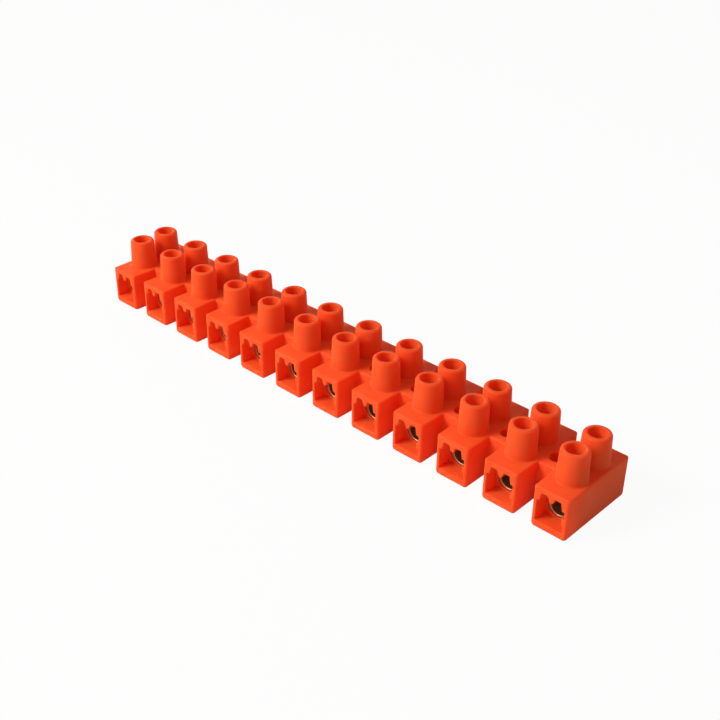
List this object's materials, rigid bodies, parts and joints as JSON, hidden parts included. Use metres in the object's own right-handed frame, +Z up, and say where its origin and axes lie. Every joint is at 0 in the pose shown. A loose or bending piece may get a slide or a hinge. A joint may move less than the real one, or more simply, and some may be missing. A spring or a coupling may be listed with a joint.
{
  "type": "screw terminal strip",
  "caption": "Moulded screw terminal strip: joined poles, each with a brass barrel, a wire entry front and rear, and clamp screws down shrouded towers.",
  "frame": {"origin": "under the middle of the strip, on the surface that its bodies stand on", "axes": "+X along the row of poles, towards pole 12; +Y along the wires, from the front entries to the rear ones; +Z up, out of the screw towers"},
  "size_m": [0.1402, 0.0208, 0.0169],
  "materials": {
    "housing_plastic": "semi-matt orange-red moulded polyamide",
    "barrel_brass": "turned, left bare",
    "screw_steel": "zinc plated"
  },
  "bodies": {
    "strip": {"housing": "housing_plastic", "barrel_1": "barrel_brass", "barrel_2": "barrel_brass", "barrel_3": "barrel_brass", "barrel_4": "barrel_brass", "barrel_5": "barrel_brass", "barrel_6": "barrel_brass", "barrel_7": "barrel_brass", "barrel_8": "barrel_brass", "barrel_9": "barrel_brass", "barrel_10": "barrel_brass", "barrel_11": "barrel_brass", "barrel_12": "barrel_brass"},
    "front_screw_1": {"front_screw_1": "screw_steel"},
    "front_screw_2": {"front_screw_2": "screw_steel"},
    "front_screw_3": {"front_screw_3": "screw_steel"},
    "front_screw_4": {"front_screw_4": "screw_steel"},
    "front_screw_5": {"front_screw_5": "screw_steel"},
    "front_screw_6": {"front_screw_6": "screw_steel"},
    "front_screw_7": {"front_screw_7": "screw_steel"},
    "front_screw_8": {"front_screw_8": "screw_steel"},
    "front_screw_9": {"front_screw_9": "screw_steel"},
    "front_screw_10": {"front_screw_10": "screw_steel"},
    "front_screw_11": {"front_screw_11": "screw_steel"},
    "front_screw_12": {"front_screw_12": "screw_steel"},
    "rear_screw_1": {"rear_screw_1": "screw_steel"},
    "rear_screw_2": {"rear_screw_2": "screw_steel"},
    "rear_screw_3": {"rear_screw_3": "screw_steel"},
    "rear_screw_4": {"rear_screw_4": "screw_steel"},
    "rear_screw_5": {"rear_screw_5": "screw_steel"},
    "rear_screw_6": {"rear_screw_6": "screw_steel"},
    "rear_screw_7": {"rear_screw_7": "screw_steel"},
    "rear_screw_8": {"rear_screw_8": "screw_steel"},
    "rear_screw_9": {"rear_screw_9": "screw_steel"},
    "rear_screw_10": {"rear_screw_10": "screw_steel"},
    "rear_screw_11": {"rear_screw_11": "screw_steel"},
    "rear_screw_12": {"rear_screw_12": "screw_steel"}
  },
  "joints": [
    {"name": "front_screw_1_travel", "type": "slide", "parent": "strip", "child": "front_screw_1", "axis": [0, 0, 1], "range_m": [-0.003, 0]},
    {"name": "front_screw_2_travel", "type": "slide", "parent": "strip", "child": "front_screw_2", "axis": [0, 0, 1], "range_m": [-0.003, 0]},
    {"name": "front_screw_3_travel", "type": "slide", "parent": "strip", "child": "front_screw_3", "axis": [0, 0, 1], "range_m": [-0.003, 0]},
    {"name": "front_screw_4_travel", "type": "slide", "parent": "strip", "child": "front_screw_4", "axis": [0, 0, 1], "range_m": [-0.003, 0]},
    {"name": "front_screw_5_travel", "type": "slide", "parent": "strip", "child": "front_screw_5", "axis": [0, 0, 1], "range_m": [-0.003, 0]},
    {"name": "front_screw_6_travel", "type": "slide", "parent": "strip", "child": "front_screw_6", "axis": [0, 0, 1], "range_m": [-0.003, 0]},
    {"name": "front_screw_7_travel", "type": "slide", "parent": "strip", "child": "front_screw_7", "axis": [0, 0, 1], "range_m": [-0.003, 0]},
    {"name": "front_screw_8_travel", "type": "slide", "parent": "strip", "child": "front_screw_8", "axis": [0, 0, 1], "range_m": [-0.003, 0]},
    {"name": "front_screw_9_travel", "type": "slide", "parent": "strip", "child": "front_screw_9", "axis": [0, 0, 1], "range_m": [-0.003, 0]},
    {"name": "front_screw_10_travel", "type": "slide", "parent": "strip", "child": "front_screw_10", "axis": [0, 0, 1], "range_m": [-0.003, 0]},
    {"name": "front_screw_11_travel", "type": "slide", "parent": "strip", "child": "front_screw_11", "axis": [0, 0, 1], "range_m": [-0.003, 0]},
    {"name": "front_screw_12_travel", "type": "slide", "parent": "strip", "child": "front_screw_12", "axis": [0, 0, 1], "range_m": [-0.003, 0]},
    {"name": "rear_screw_1_travel", "type": "slide", "parent": "strip", "child": "rear_screw_1", "axis": [0, 0, 1], "range_m": [-0.003, 0]},
    {"name": "rear_screw_2_travel", "type": "slide", "parent": "strip", "child": "rear_screw_2", "axis": [0, 0, 1], "range_m": [-0.003, 0]},
    {"name": "rear_screw_3_travel", "type": "slide", "parent": "strip", "child": "rear_screw_3", "axis": [0, 0, 1], "range_m": [-0.003, 0]},
    {"name": "rear_screw_4_travel", "type": "slide", "parent": "strip", "child": "rear_screw_4", "axis": [0, 0, 1], "range_m": [-0.003, 0]},
    {"name": "rear_screw_5_travel", "type": "slide", "parent": "strip", "child": "rear_screw_5", "axis": [0, 0, 1], "range_m": [-0.003, 0]},
    {"name": "rear_screw_6_travel", "type": "slide", "parent": "strip", "child": "rear_screw_6", "axis": [0, 0, 1], "range_m": [-0.003, 0]},
    {"name": "rear_screw_7_travel", "type": "slide", "parent": "strip", "child": "rear_screw_7", "axis": [0, 0, 1], "range_m": [-0.003, 0]},
    {"name": "rear_screw_8_travel", "type": "slide", "parent": "strip", "child": "rear_screw_8", "axis": [0, 0, 1], "range_m": [-0.003, 0]},
    {"name": "rear_screw_9_travel", "type": "slide", "parent": "strip", "child": "rear_screw_9", "axis": [0, 0, 1], "range_m": [-0.003, 0]},
    {"name": "rear_screw_10_travel", "type": "slide", "parent": "strip", "child": "rear_screw_10", "axis": [0, 0, 1], "range_m": [-0.003, 0]},
    {"name": "rear_screw_11_travel", "type": "slide", "parent": "strip", "child": "rear_screw_11", "axis": [0, 0, 1], "range_m": [-0.003, 0]},
    {"name": "rear_screw_12_travel", "type": "slide", "parent": "strip", "child": "rear_screw_12", "axis": [0, 0, 1], "range_m": [-0.003, 0]}
  ]
}
